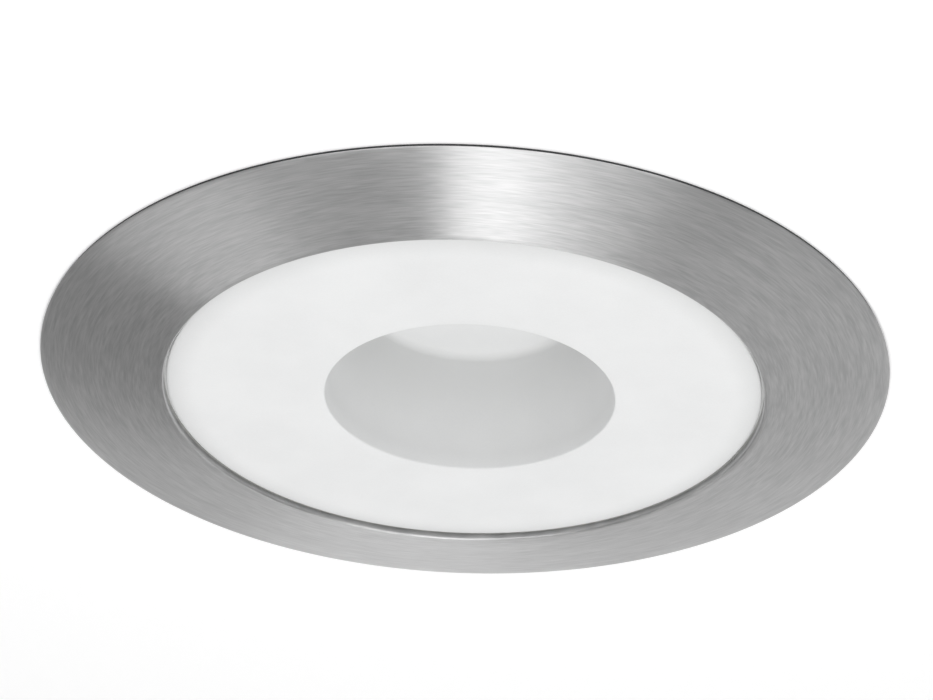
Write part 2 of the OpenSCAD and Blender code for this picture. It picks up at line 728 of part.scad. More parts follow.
module lampholder() {
    face_t = 3.3;
    play = 0.3;
    slot_w = pin_neck_r + play;
    head_w = pin_head_r + play;
    slot_end = asin(slot_w / lamp_pin_offset);
    cavity_h = pin_neck_h + pin_head_h + 1 - face_t;
    color([0.94, 0.93, 0.90]) difference() {
        translate([0, 0, holder_z]) cylinder(r = holder_r, h = holder_h);
        // a narrow curved slot for each pin's neck, which ends in a round hole that lets its head in
        for (side = [90, 270]) rotate([0, 0, side]) {
            rotate([0, 0, -slot_end]) rotate_extrude(angle = slot_end + lamp_twist)
                translate([lamp_pin_offset - slot_w, holder_z - 1]) square([2 * slot_w, face_t + 2]);
            rotate([0, 0, lamp_twist]) translate([lamp_pin_offset, 0, holder_z - 1])
                cylinder(r = head_w, h = face_t + 2);
        }
        // the ring-shaped space that the heads turn in
        rotate_extrude() translate([lamp_pin_offset - head_w - 0.1, holder_z + face_t]) square([2 * head_w + 0.2, cavity_h]);
        holder_screw_places() translate([0, 0, -9]) cylinder(r = 1.2, h = 10);
    }
}

// Brass blocks above the pins
module holder_contacts() {
    z = holder_z + pin_neck_h + pin_head_h + 1;
    color([0.8, 0.65, 0.3]) both_y() translate([0, lamp_pin_offset, z - 0.7]) cylinder(r = 1.6, h = 0.7);
}

module holder_screw_places() {
    both_y() translate([0, 10.3, holder_top_z]) children();
}

module strap_screw_places() {
    both_y() translate([0, 24, can_top_z]) children();
}

strap_t = 1.2;
strap_half = 6.5;
strap_leg_y = 16;

module holder_strap() {
    foot_y = 30;
    color(zinc) both_y() difference() {
        union() {
            block([-strap_half, -eps, holder_top_z], [strap_half, strap_leg_y, holder_top_z + strap_t]);
            block([-strap_half, strap_leg_y - strap_t, holder_top_z], [strap_half, strap_leg_y, can_top_z]);
            block([-strap_half, strap_leg_y - strap_t, can_top_z - strap_t], [strap_half, foot_y, can_top_z]);
        }
        holder_screw_places() translate([0, 0, -2]) cylinder(r = 1.2, h = 8);
        strap_screw_places() translate([0, 0, -4]) cylinder(r = 1.2, h = 8);
    }
}

module holder_screws() {
    color(zinc) holder_screw_places() translate([0, 0, strap_t]) pan_screw(1.2, 8, 2.2, 1.6);
}

module strap_screws() {
    color(zinc) strap_screw_places() translate([0, 0, -strap_t]) mirror([0, 0, 1])
        pan_screw(1.2, strap_t + box_sheet - 0.1, 2.2, 1.6);
}

// ---- junction box ----

module box_screw_places() {
    for (x = [-box_screw_x, box_screw_x]) for (y = [-box_screw_y, box_screw_y])
        translate([x, y, box_floor_z]) children();
}

lid_tab_y = box_w / 2 - box_sheet;

module junction_box() {
    tab_in = 9;
    color(zinc) difference() {
        union() {
            difference() {
                block([-box_l / 2, -box_w / 2, box_z], [box_l / 2, box_w / 2, box_top_z]);
                block([-box_l / 2 + box_sheet, -box_w / 2 + box_sheet, box_floor_z],
                    [box_l / 2 - box_sheet, box_w / 2 - box_sheet, box_top_z + 1]);
            }
            // inward tab that the lid's screw goes into
            block([-7, lid_tab_y - tab_in, box_top_z - box_sheet - 0.4], [7, lid_tab_y + eps, box_top_z - 0.4]);
            for (x = [-hinge_half, hinge_half - knuckle_l]) {
                rod_x(x, x + knuckle_l, hinge_y, hinge_z, knuckle_r);
                block([x, hinge_y, hinge_z - knuckle_r], [x + knuckle_l, -box_w / 2 + eps, hinge_z - knuckle_r + 1.2]);
            }
        }
        for (x = [-hinge_half, hinge_half - knuckle_l])
            rod_x(x - 1, x + knuckle_l + 1, hinge_y, hinge_z, hinge_pin_r);
        translate([0, lid_tab_y - 5, box_top_z - 4]) cylinder(r = 2.3, h = 6);
        translate([bush_x, 0, box_z - 1]) cylinder(r = bush_hole_r, h = box_sheet + 2);
        translate([earth_x, earth_y, box_z - 1]) cylinder(r = 1.5, h = box_sheet + 2);
        rod_x(box_l / 2 - 3, box_l / 2 + 1, 0, gland_z, gland_hole_r);
        strap_screw_places() translate([0, 0, -4]) cylinder(r = 1.4, h = 8);
        box_screw_places() translate([0, 0, -4]) cylinder(r = 1.5, h = 8);
        block_screw_places() translate([0, 0, -4]) cylinder(r = 1.2, h = 8);
        knockout_places() translate([0, 0, -box_sheet - 1]) cylinder(r = knock_r, h = box_sheet + 2);
    }
}

knock_r = 11;

// Knockouts: one in the end wall, two in the front wall, pointing outwards
module knockout_places() {
    translate([-box_l / 2, 0, gland_z]) rotate([0, -90, 0]) children();
    for (x = [-knockout_x, knockout_x]) translate([x, box_w / 2, gland_z]) rotate([-90, 0, 0]) children();
}

module knockouts() {
    nick = 0.3;
    color(zinc) knockout_places() translate([0, 0, -box_sheet]) {
        cylinder(r = knock_r - nick, h = box_sheet);
        for (turn = [0, 180]) rotate([0, 0, turn]) translate([knock_r - 1, -1, 0]) cube([0.95, 2, box_sheet]);
    }
}

module box_screws() {
    color(zinc) box_screw_places() pan_screw(1.5, 2 * box_sheet + 2, 2.8, 2);
}

module hinge_pin() {
    color(steel) rod_x(-hinge_half, hinge_half, hinge_y, hinge_z, hinge_pin_r);
}

module box_lid() {
    out_x = box_l / 2 + lid_play + box_sheet;
    out_y = box_w / 2 + lid_play + box_sheet;
    back_y = -box_w / 2;
    color(zinc) difference() {
        union() {
            block([-out_x, back_y, lid_z], [out_x, out_y, lid_z + box_sheet]);
            block([-out_x, out_y - box_sheet, box_top_z - lid_skirt], [out_x, out_y, lid_z + eps]);
            for (x = [-out_x, out_x - box_sheet])
                block([x, back_y + 1, box_top_z - lid_skirt], [x + box_sheet, out_y, lid_z + eps]);
            for (x = [-lid_knuckle_x, lid_knuckle_x - knuckle_l]) {
                rod_x(x, x + knuckle_l, hinge_y, hinge_z, knuckle_r);
                block([x, hinge_y - 1.2, hinge_z + 1.4], [x + knuckle_l, hinge_y, lid_z + box_sheet]);
                block([x, hinge_y - 1.2, lid_z], [x + knuckle_l, back_y + eps, lid_z + box_sheet]);
            }
        }
        for (x = [-lid_knuckle_x, lid_knuckle_x - knuckle_l])
            rod_x(x - 1, x + knuckle_l + 1, hinge_y, hinge_z, hinge_pin_r + 0.06);
        translate([0, lid_tab_y - 5, lid_z - 1]) cylinder(r = 1.75, h = 4);
    }
}

module lid_gasket() {
    inset = 0.4;
    width = 3;
    x0 = box_l / 2 - inset;
    y0 = box_w / 2 - inset;
    color([0.15, 0.15, 0.16]) difference() {
        block([-x0, -y0, box_top_z + lid_gap], [x0, y0, lid_z]);
        block([width - x0, width - y0, box_top_z - 1], [x0 - width, y0 - width, lid_z + 1]);
    }
}

// Captive quarter-turn screw of the lid
module lid_screw() {
    color(zinc) translate([0, lid_tab_y - 5, lid_z + box_sheet]) pan_screw(1.75, 6, 3.4, 2.2);
}

// ---- wiring inside the box and the can ----

module block_screw_places() {
    for (y = [-pole_pitch / 2, pole_pitch / 2]) translate([block_x, y, box_floor_z]) children();
}

module terminal_block() {
    color([0.95, 0.95, 0.93]) difference() {
        union() {
            block([block_x - block_l / 2, -block_w / 2, box_floor_z], [block_x + block_l / 2, block_w / 2, box_floor_z + 4]);
            for (pole = [-1, 0, 1])
                block([block_x - block_l / 2, pole * pole_pitch - 4, box_floor_z + 4 - eps],
                    [block_x + block_l / 2, pole * pole_pitch + 4, box_floor_z + block_h]);
        }
        for (pole = [-1, 0, 1]) {
            rod_x(block_x - block_l / 2 - 1, block_x + block_l / 2 + 1, pole * pole_pitch, lead_z, lead_r + 0.2);
            for (side = [-5, 5]) translate([block_x + side, pole * pole_pitch, lead_z + 0.5]) cylinder(r = 1.7, h = block_h);
        }
    }
}

module terminal_screws() {
    color(zinc) for (pole = [-1, 0, 1]) for (side = [-5, 5])
        translate([block_x + side, pole * pole_pitch, lead_z + lead_r + 0.4]) difference() {
            cylinder(r = 1.7, h = 5);
            translate([-2, -0.3, 4]) cube([4, 0.6, 2]);
        }
}

// Grommet in the hole between the box and the can
module lead_bush() {
    lip = 1.4;
    color([0.1, 0.1, 0.1]) translate([bush_x, 0, 0]) difference() {
        union() {
            translate([0, 0, can_top_z - 1.2]) cylinder(r = bush_hole_r + lip, h = 1.2);
            translate([0, 0, can_top_z]) cylinder(r = bush_hole_r, h = 2 * box_sheet + eps);
            translate([0, 0, box_floor_z]) cylinder(r = bush_hole_r + lip, h = 1.2);
        }
        translate([0, 0, can_top_z - 2]) cylinder(r = bush_hole_r - 1, h = 2 * box_sheet + 4);
    }
}

lead_z = box_floor_z + 6.6;
lead_x = block_x - block_l / 2;
drop_x = -9.8;

// The route of a supply lead from its pole to the lampholder, side = -1 or 1
function supply_route(pole_y, side) = [
    [lead_x + 3, pole_y, lead_z], [lead_x - 6, pole_y, lead_z],
    [bush_x + 10, (pole_y + side * 4.5) / 2, lead_z + 0.6], [bush_x + 3, side * 2.6, lead_z - 2.5],
    [bush_x, side * 2.4, box_z], [bush_x + 1, side * 2.6, can_top_z - 5],
    [bush_x + 8, side * 3, can_top_z - 7.5], [drop_x - 0.3, side * 3, holder_top_z + 3.4],
    [drop_x, side * 3, holder_top_z + 0.1]];

module live_lead() {
    color([0.42, 0.24, 0.14]) wire(curve(supply_route(-pole_pitch, -1), 3), lead_r, 8);
}

module neutral_lead() {
    color([0.15, 0.3, 0.65]) wire(curve(supply_route(0, 1), 3), lead_r, 8);
}

module earth_lead() {
    ring_z = box_floor_z;
    color([0.35, 0.6, 0.2]) {
        wire(curve([[lead_x + 3, pole_pitch, lead_z], [lead_x - 6, pole_pitch, lead_z],
            [earth_x + 8, earth_y - 7, lead_z - 2.5], [earth_x + 4.6, earth_y - 3.6, ring_z + 1.6],
            [earth_x + 2.5, earth_y - 1.9, ring_z + 1.1]], 3), lead_r, 8);
        translate([earth_x, earth_y, ring_z]) difference() {
            cylinder(r = 3.4, h = 0.8);
            translate([0, 0, -1]) cylinder(r = 1.5, h = 3);
        }
    }
}

module earth_screw() {
    color([0.8, 0.65, 0.3]) translate([earth_x, earth_y, box_floor_z + 0.8]) pan_screw(1.5, box_sheet + 0.8, 2.9, 2);
}

// ---- cable gland in the box's end wall ----

gland_x = box_l / 2;
gland_hex = 22;
seal_r = 6.2;

module gland_body() {
    color([0.2, 0.2, 0.21]) difference() {
        union() {
            rod_x(gland_x - 7, gland_x + 0.01, 0, gland_z, gland_hole_r);
            translate([gland_x, 0, gland_z]) rotate([0, 90, 0]) hex_nut(gland_hex, 5, cable_r);
            rod_x(gland_x + 4.99, gland_x + 12, 0, gland_z, gland_hole_r);
        }
        rod_x(gland_x - 8, gland_x + 13, 0, gland_z, cable_r + 0.6);
        rod_x(gland_x + 5, gland_x + 13, 0, gland_z, seal_r);
    }
}

module gland_locknut() {
    color([0.2, 0.2, 0.21]) translate([gland_x - box_sheet - 3.5, 0, gland_z]) rotate([0, 90, 0])
        hex_nut(gland_hex, 3.5, gland_hole_r);
}

module gland_seal() {
    color([0.35, 0.35, 0.36]) difference() {
        rod_x(gland_x + 5, gland_x + 14, 0, gland_z, seal_r);
        rod_x(gland_x + 4, gland_x + 15, 0, gland_z, cable_r + 0.25);
    }
}

// Dome nut: a hexagon and then a dome, hollow over the body's thread and the seal
module gland_nut() {
    dome_r = gland_hex / 2 - 0.6;
    dome_h = 5;
    hole_r = cable_r + 0.8;
    color([0.2, 0.2, 0.21]) translate([gland_x + 5.4, 0, gland_z]) rotate([0, 90, 0]) difference() {
        union() {
            rotate([0, 0, 30]) cylinder(r = gland_hex / sqrt(3), h = 6.6, $fn = 6);
            rotate_extrude() polygon(concat([[0, 6], [dome_r, 6]],
                [for (a = [0 : 15 : 75]) [hole_r + 1 + (dome_r - hole_r - 1) * cos(a), 6.6 + dome_h * sin(a)]],
                [[hole_r + 1, 6.6 + dome_h], [0, 6.6 + dome_h]]));
        }
        translate([0, 0, -1]) cylinder(r = gland_hole_r, h = 7.7);
        translate([0, 0, 6]) cylinder(r = seal_r, h = 2.6);
        translate([0, 0, 8]) cylinder(r = hole_r, h = 10);
    }
}

trim_ring();
trim_gasket();
trim_studs();
glass_gasket();
face_glass();
retainer_ring();
retainer_nuts();
spring_hangers();
hanger_rivets();
hanger_pins();
left_spring_front_arm();
left_spring_back_arm();
right_spring_front_arm();
right_spring_back_arm();
mounting_collar();
can_shell();
collar_screws();
can_cap();
cap_screws();
spring_receivers();
receiver_rivets();
clip_brackets();
clip_rivets();
clip_pins();
clip_spring_tails();
front_clip();
front_clip_foot();
front_clip_spring();
back_clip();
back_clip_foot();
back_clip_spring();
lamp_reflector();
lamp_lens();
lamp_base();
lamp_pins();
lampholder();
holder_contacts();
holder_strap();
holder_screws();
strap_screws();
junction_box();
box_screws();
knockouts();
hinge_pin();
box_lid();
lid_gasket();
lid_screw();
terminal_block();
terminal_screws();
lead_bush();
live_lead();
neutral_lead();
earth_lead();
earth_screw();
gland_body();
gland_locknut();
gland_seal();
gland_nut();
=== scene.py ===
import math

import bmesh
import bpy
from mathutils import Matrix, Vector


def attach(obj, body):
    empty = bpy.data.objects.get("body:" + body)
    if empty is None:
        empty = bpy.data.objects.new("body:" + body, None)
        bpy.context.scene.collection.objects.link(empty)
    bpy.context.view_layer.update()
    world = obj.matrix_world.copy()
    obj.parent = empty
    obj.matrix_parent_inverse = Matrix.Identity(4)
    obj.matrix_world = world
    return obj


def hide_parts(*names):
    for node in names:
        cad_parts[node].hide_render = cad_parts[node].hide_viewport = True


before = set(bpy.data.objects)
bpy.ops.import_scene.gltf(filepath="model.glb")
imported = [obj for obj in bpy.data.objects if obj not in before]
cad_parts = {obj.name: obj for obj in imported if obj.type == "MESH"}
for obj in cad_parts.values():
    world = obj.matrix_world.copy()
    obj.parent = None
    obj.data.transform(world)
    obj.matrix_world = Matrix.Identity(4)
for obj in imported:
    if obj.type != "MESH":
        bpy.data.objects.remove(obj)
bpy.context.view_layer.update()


# ---- Soffit and floor ----
# The fitting is let into a white soffit board, whose lower face lies at z = 0. The board hides what is
# above it from below, and lets the whole fitting be seen from above. A pale floor lies under it all.

MM = 0.001


class Socket:
    """An output of a shader node. Working with it adds Math nodes to its material."""

    def __init__(self, tree, output=None):
        self.tree = tree
        self.output = output

    def node(self, kind, settings=None, sockets=None, output=0):
        made = self.tree.nodes.new("ShaderNode" + kind)
        for name, value in (settings or {}).items():
            setattr(made, name, value)
        for name, value in (sockets or {}).items():
            if isinstance(value, Socket):
                self.tree.links.new(value.output, made.inputs[name])
            else:
                made.inputs[name].default_value = value
        return Socket(self.tree, made.outputs[output])

    def math(self, operation, a, b):
        return self.node("Math", {"operation": operation}, {0: a, 1: b})

    def __add__(self, other):
        return self.math("ADD", self, other)

    def __sub__(self, other):
        return self.math("SUBTRACT", self, other)

    def __rsub__(self, other):
        return self.math("SUBTRACT", other, self)

    def __mul__(self, other):
        return self.math("MULTIPLY", self, other)

    def __truediv__(self, other):
        return self.math("DIVIDE", self, other)

    def __pow__(self, other):
        return self.math("POWER", self, other)

    __radd__ = __add__
    __rmul__ = __mul__


def new_finish(name):
    """A material with an empty tree, and its Object coordinates."""
    material = bpy.data.materials.new(name)
    material.use_nodes = True
    material.node_tree.nodes.clear()
    return material, Socket(material.node_tree).node("TexCoord", output="Object")


def close_finish(material, shader):
    out = material.node_tree.nodes.new("ShaderNodeOutputMaterial")
    material.node_tree.links.new(shader.output, out.inputs["Surface"])
    return material


def mesh_piece(mesh, name, material, sharp=35):
    """Makes an object of a bmesh, in one material, with edges sharper than an angle kept hard."""
    bmesh.ops.remove_doubles(mesh, verts=mesh.verts, dist=1e-7)
    bmesh.ops.recalc_face_normals(mesh, faces=mesh.faces)
    for face in mesh.faces:
        face.smooth = True
    for edge in mesh.edges:
        if len(edge.link_faces) == 2 and edge.calc_face_angle(0) > math.radians(sharp):
            edge.smooth = False
    data = bpy.data.meshes.new(name)
    mesh.to_mesh(data)
    mesh.free()
    data.materials.append(material)
    piece = bpy.data.objects.new(name, data)
    bpy.context.scene.collection.objects.link(piece)
    return piece


def showing(place):
    """1 for the rays that show a backdrop: the camera's own, and those by way of metal or glass."""
    camera_ray, glossy_ray, glass_ray = (place.node("LightPath", output=f"Is {kind} Ray")
                                         for kind in ("Camera", "Glossy", "Transmission"))
    return place.math("MAXIMUM", place.math("MAXIMUM", camera_ray, glossy_ray), glass_ray)


soffit_r = 0.8
soffit_hole_r = 84 * MM
soffit_z = 0.02 * MM
soffit_glow = 0.18
covered_r = 94.8 * MM
mesh = bmesh.new()
bmesh.ops.create_circle(mesh, segments=128, radius=soffit_hole_r)
outline = bmesh.ops.extrude_edge_only(mesh, edges=mesh.edges[:])["geom"]
bmesh.ops.scale(mesh, verts=[v for v in outline if isinstance(v, bmesh.types.BMVert)],
                vec=(soffit_r / soffit_hole_r, soffit_r / soffit_hole_r, 1))
bmesh.ops.translate(mesh, verts=mesh.verts, vec=(0, 0, soffit_z))

# Over the trim the board lets light through, or the trim's back would be black when seen from above.
soffit_white, place = new_finish("soffit_white")
board = place.node("BsdfDiffuse", sockets={"Color": (0.92, 0.92, 0.92, 1)})
glow = place.node("Emission", sockets={"Strength": showing(place) * soffit_glow})
lit = place.node("AddShader", sockets={0: board, 1: glow})
clear = place.node("BsdfTransparent")
from_above = place.node("NewGeometry", output="Backfacing")
from_axis = place.node("VectorMath", {"operation": "LENGTH"}, {0: place}, output="Value")
unseen = 1 - place.node("LightPath", output="Is Camera Ray")
over_trim = place.math("LESS_THAN", from_axis, covered_r) * unseen
close_finish(soffit_white, place.node("MixShader", sockets={
    0: place.math("MAXIMUM", from_above, over_trim), 1: lit, 2: clear}))
soffit = mesh_piece(mesh, "soffit_board", soffit_white)
if soffit.data.polygons[0].normal.z > 0:
    soffit.data.flip_normals()

floor_r = 4
floor_z = -1.2
floor_pale, place = new_finish("floor_pale")
close_finish(floor_pale, place.node("BsdfDiffuse", sockets={"Color": (0.68, 0.68, 0.68, 1)}))
mesh = bmesh.new()
bmesh.ops.create_circle(mesh, cap_ends=True, segments=128, radius=floor_r)
bmesh.ops.translate(mesh, verts=mesh.verts, vec=(0, 0, floor_z))
floor = mesh_piece(mesh, "floor", floor_pale)
if floor.data.polygons[0].normal.z < 0:
    floor.data.flip_normals()


# ---- Camera ----
# It stands 760 mm from the fitting and looks up at it from 30 degrees below the soffit, a little rolled.

distance = 760 * MM
rise = math.radians(29.97)
roll = math.radians(2.383)
focal_px = 3379.2
image_w_px = 933
shift_px = (2.35, 30.36)
ahead = Vector((0, math.cos(rise), math.sin(rise)))
above = Vector((0, -math.sin(rise), math.cos(rise)))
level = Vector((1, 0, 0))
right = level * math.cos(roll) + above * math.sin(roll)
upward = above * math.cos(roll) - level * math.sin(roll)
camera_data = bpy.data.cameras.new("camera")
camera_data.sensor_width = 36
camera_data.lens = focal_px * camera_data.sensor_width / image_w_px
camera_data.shift_x = shift_px[0] / image_w_px
camera_data.shift_y = shift_px[1] / image_w_px
camera = bpy.data.objects.new("camera", camera_data)
turned = Matrix((right, upward, -ahead)).transposed().to_4x4()
camera.matrix_world = Matrix.Translation(-distance * ahead) @ turned
bpy.context.scene.collection.objects.link(camera)
bpy.context.scene.camera = camera
bpy.context.scene.view_settings.view_transform = "Standard"


# ---- Light ----
# Soft light from all round, as in a porch by day. The key lamp lies below the fitting. The panels stand
# beyond it, low, and the brushed ring mirrors them as wedges: a narrow bright one on its near side.

def soft_lamp(name, spot, target, size, brightness):
    """A rectangular lamp whose face has a given brightness, where 1 is white."""
    data = bpy.data.lights.new(name, "AREA")
    data.shape = "RECTANGLE"
    data.size, data.size_y = size
    data.energy = brightness * math.pi * size[0] * size[1]
    lamp = bpy.data.objects.new(name, data)
    lamp.location = spot
    lamp.rotation_euler = (Vector(target) - Vector(spot)).to_track_quat("-Z", "Y").to_euler()
    lamp.visible_camera = False
    bpy.context.scene.collection.objects.link(lamp)


trim_middle = (0, 0, 0)
can_middle = (0, 0, 0.06)
soft_lamp("key_lamp", (0.03, -0.27, -0.62), trim_middle, (0.85, 0.65), 1.62)
soft_lamp("near_panel", (0.036, 0.41, -0.78), trim_middle, (0.13, 0.8), 2.5)
soft_lamp("far_panel", (0.06, 2.1, -0.52), trim_middle, (0.7, 0.8), 0.5)
soft_lamp("horizon_panel", (-0.35, 1.9, -0.3), trim_middle, (1.3, 0.1), 0.4)
soft_lamp("left_panel", (-0.28, 0.63, -0.75), trim_middle, (0.23, 0.28), 1.75)
soft_lamp("right_panel", (0.6, 1.0, -0.78), trim_middle, (1.0, 1.1), 0.42)
soft_lamp("left_lamp", (-0.8, -0.6, 0.9), can_middle, (0.9, 0.9), 1.8)
soft_lamp("right_lamp", (0.9, 0.7, 0.7), can_middle, (0.8, 0.8), 1.2)

world = bpy.data.worlds.new("daylight")
bpy.context.scene.world = world
world.use_nodes = True
world.node_tree.nodes.clear()
sky = Socket(world.node_tree)
sky_level = 0.5
daylight = sky.node("Background", sockets={
    "Color": (1, 1, 1, 1), "Strength": showing(sky) * (1 - sky_level) + sky_level})
close_world = world.node_tree.nodes.new("ShaderNodeOutputWorld")
world.node_tree.links.new(daylight.output, close_world.inputs["Surface"])


# ---- Trim ring ----
# A shallow cone spun from 0.8 mm sheet, thinned at its outer edge, with a lip turned up round the glass.
# It is plated in satin nickel and brushed round the ring. Its foam seal keeps it just off the soffit.

def spin_line(mesh, points, steps):
    """Turns a line of (radius, height) points, in mm, all the way round the fitting's axis."""
    line = [mesh.verts.new((r * MM, 0, z * MM)) for r, z in points]
    edges = [mesh.edges.new(pair) for pair in zip(line, line[1:])]
    bmesh.ops.spin(mesh, geom=line + edges, cent=(0, 0, 0), axis=(0, 0, 1), angle=math.tau,
                   steps=steps, use_merge=True)


def arc(r, z, radius, start, stop, steps):
    """Points on a round corner, by its centre and the degrees where it starts and stops."""
    turns = [math.radians(start + (stop - start) * i / steps) for i in range(steps + 1)]
    return [(r + radius * math.cos(a), z + radius * math.sin(a)) for a in turns]


trim_r = 95
trim_fall = 5.42
trim_edge_h = 0.75
trim_sheet = 0.8
lip_r = 67.15
lip_h = 1.42
lip_sheet = 0.6
lip_round = 0.5
lip_turn = 81
rim_round_w = 1.3
rim_sheet = 0.04
crown = 0.18
seal_h = 0.58
seal_squash = 0.02
trim_slope = (trim_fall - trim_edge_h) / (trim_r - lip_r)
sheet_rise = trim_sheet * math.hypot(1, trim_slope)


def cone_under(r):
    return -trim_edge_h - (trim_r - r) * trim_slope


def crowned(r):
    """The shown face, which bulges a little from the straight cone between its two edges."""
    across = (r - lip_r) / (trim_r - lip_r)
    return cone_under(r) - crown * 4 * across * (1 - across)


lip_back = lip_r + lip_sheet
rim_r = trim_r - rim_round_w
rim_z = crowned(rim_r)
rim_rise = crowned(rim_r) - crowned(rim_r - rim_round_w)
rim_drop = -seal_h - seal_squash - rim_z - rim_rise
rim_turns = [math.radians(10 * i) for i in range(10)]
profile = (
    [(lip_back, lip_h - trim_fall), (lip_r, lip_h - trim_fall)]
    + arc(lip_r + lip_round, cone_under(lip_r) + lip_round, lip_round, 180, 180 + lip_turn, 9)
    + [(r, crowned(r)) for r in range(69, 93)]
    + [(rim_r + rim_round_w * math.sin(a), rim_z + rim_rise * math.sin(a) + rim_drop * (1 - math.cos(a)))
       for a in rim_turns]
    + [(trim_r - rim_sheet, -seal_h)]
    + [(r, cone_under(r) + sheet_rise) for r in (91, 86, 80, 74)]
    + [(lip_back, cone_under(lip_back) + sheet_rise), (lip_back, lip_h - trim_fall)]
)
mesh = bmesh.new()
spin_line(mesh, profile, 360)


def part_of(place, axis):
    return place.node("SeparateXYZ", sockets={0: place}, output=axis)


def noise(place, scale, detail=2.0):
    return place.node("TexNoise", sockets={"Vector": place, "Scale": scale, "Detail": detail})


def between(mask, low, high):
    """Goes from a low colour to a high one with a mask. A colour may be another mix."""
    low, high = (colour if isinstance(colour, Socket) else (*colour, 1) for colour in (low, high))
    return mask.node("Mix", {"data_type": "RGBA"}, {"Factor": mask, "A": low, "B": high}, output="Result")


def relief(height, strength, depth_mm):
    return height.node("Bump", sockets={"Height": height, "Strength": strength, "Distance": depth_mm * MM})


nickel, place = new_finish("brushed_nickel")
x = part_of(place, "X")
y = part_of(place, "Y")
from_axis = (x * x + y * y) ** 0.5
brushed_r = 80 * MM


def strokes(length, width, shift):
    """Brush marks, long round the ring and narrow across it: a noise on the unit circle and the radius."""
    turns = brushed_r / length
    where = place.node("CombineXYZ", sockets={
        0: x / from_axis * turns + shift, 1: y / from_axis * turns, 2: from_axis / width})
    return noise(where, 1.0, 1.0)


fine = strokes(5 * MM, 0.32 * MM, 3.0)
middle = strokes(10 * MM, 0.9 * MM, 11.0)
broad = strokes(50 * MM, 2.8 * MM, 27.0)
grain = fine * 0.5 + middle * 0.3 + broad * 0.2 - 0.5
close_finish(nickel, place.node("BsdfPrincipled", sockets={
    "Base Color": between(grain * 3.6 + 0.5, (0.38, 0.38, 0.382), (0.49, 0.49, 0.49)),
    "Metallic": 1.0,
    "Roughness": grain * 0.08 + 0.295,
    "Anisotropic": 0.97,
    "Anisotropic Rotation": 0.25,
    "Normal": relief(grain, 0.28, 0.01),
}))
trim_ring = mesh_piece(mesh, "trim_ring_spun", nickel, 30)
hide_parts("trim_ring")
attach(trim_ring, "trim")


# ---- Face glass ----
# One white frosted pressing: a flat ring with a rounded shoulder at its edge, a thin flange behind the
# trim's lip, and a deep round well. Its colour holds painted shade: darker in the well, more so up the
# well's wall towards its top, and darker at the shoulder under the trim's lip. The well was pressed a
# little to one side of the centre.

glass_face = -4.9
glass_h = 5
glass_top = glass_face + glass_h
glass_r = 66.6
glass_flange_r = 71.5
glass_flange_z = -3.2
glass_chamfer = 0.3
shoulder_w = 6
shoulder_h = 1
well_shift = 1.4
well_r = 32.5
well_taper = 6.6
well_depth = 26.25
well_wall = 2
well_fillet = 1.8
well_back_r = 32.4
well_back_fillet = 5.3
mouth_round = 0.5

top_r = well_r - well_taper
well_top = glass_face + well_depth
well_back = well_top + well_wall
wall_lean = well_taper / (well_top - well_fillet - glass_face - mouth_round)
mesh = bmesh.new()
spin_line(mesh,
          [(0, well_top), (8, well_top), (16, well_top)]
          + arc(top_r - well_fillet, well_top - well_fillet, well_fillet, 90, 0, 10)
          + [(well_r - wall_lean * h, glass_face + mouth_round + h) for h in (15, 10, 5)]
          + arc(well_r + mouth_round, glass_face + mouth_round, mouth_round, 180, 260, 6)
          + [(r, glass_face) for r in (36, 39, 44, 50, 56)]
          + [(glass_r - shoulder_w + shoulder_w * math.cos(a), glass_face + shoulder_h * (1 - math.sin(a)))
             for a in (math.radians(90 - 5 * i) for i in range(19))]
          + [(glass_r, glass_flange_z), (glass_flange_r, glass_flange_z),
             (glass_flange_r, glass_top - glass_chamfer), (glass_flange_r - glass_chamfer, glass_top),
             (44, glass_top), (39, glass_top), (well_back_r, glass_top)]
          + arc(well_back_r - well_back_fillet, well_back - well_back_fillet, well_back_fillet, 0, 90, 10)
          + [(18, well_back), (9, well_back), (0, well_back)], 240)
shifted_r = 40 * MM
bmesh.ops.translate(mesh, verts=[v for v in mesh.verts if v.co.xy.length < shifted_r],
                    vec=(well_shift * MM, 0, 0))


def ramp(value, start_mm, stop_mm):
    """Goes softly from 0 to 1 as a length goes from start to stop."""
    return value.node("MapRange", {"interpolation_type": "SMOOTHSTEP"}, {
        "Value": value, "From Min": start_mm * MM, "From Max": stop_mm * MM})


frosted, place = new_finish("frosted_glass")
cloud = noise(place, 45, 3)
speck = noise(place, 2400)
x = part_of(place, "X")
y = part_of(place, "Y")
z = part_of(place, "Z")
from_axis = (x * x + y * y) ** 0.5
x = x - well_shift * MM
from_well = (x * x + y * y) ** 0.5
# Painted shade: the glass is darker all over the well, darker still up the well's wall towards its top, and
# darker at its shoulder under the trim's lip.
in_well = ramp(z, glass_face, glass_face + 4) * (1 - ramp(from_axis, 36, 40))
on_wall = ramp(from_well, top_r - 2.5, top_r)
painted_wall_shade = on_wall * ramp(z, glass_face + 6, well_top - 3)
at_edge = ramp(from_axis, glass_r - 7, glass_r)
painted_shade = in_well * 0.23 + in_well * painted_wall_shade * 0.38 + at_edge * 0.3
white = between(cloud * 0.7 + speck * 0.3, (0.80, 0.805, 0.805), (0.95, 0.955, 0.955))
close_finish(frosted, place.node("BsdfPrincipled", sockets={
    "Base Color": between(painted_shade, white, (0.62, 0.625, 0.62)),
    "Roughness": speck * 0.2 + 0.55,
    "Specular IOR Level": 0.2,
    "Normal": relief(speck, 0.08, 0.05),
}))
face_glass = mesh_piece(mesh, "face_glass_pressing", frosted)
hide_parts("face_glass")
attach(face_glass, "trim")


# ---- Gaskets ----
# A silicone ring lies between the glass and the trim's lip. Closed-cell foam seals the trim to the
# soffit, and the junction box to its lid.

def dress(material, *names):
    for name in names:
        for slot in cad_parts[name].material_slots:
            slot.material = material


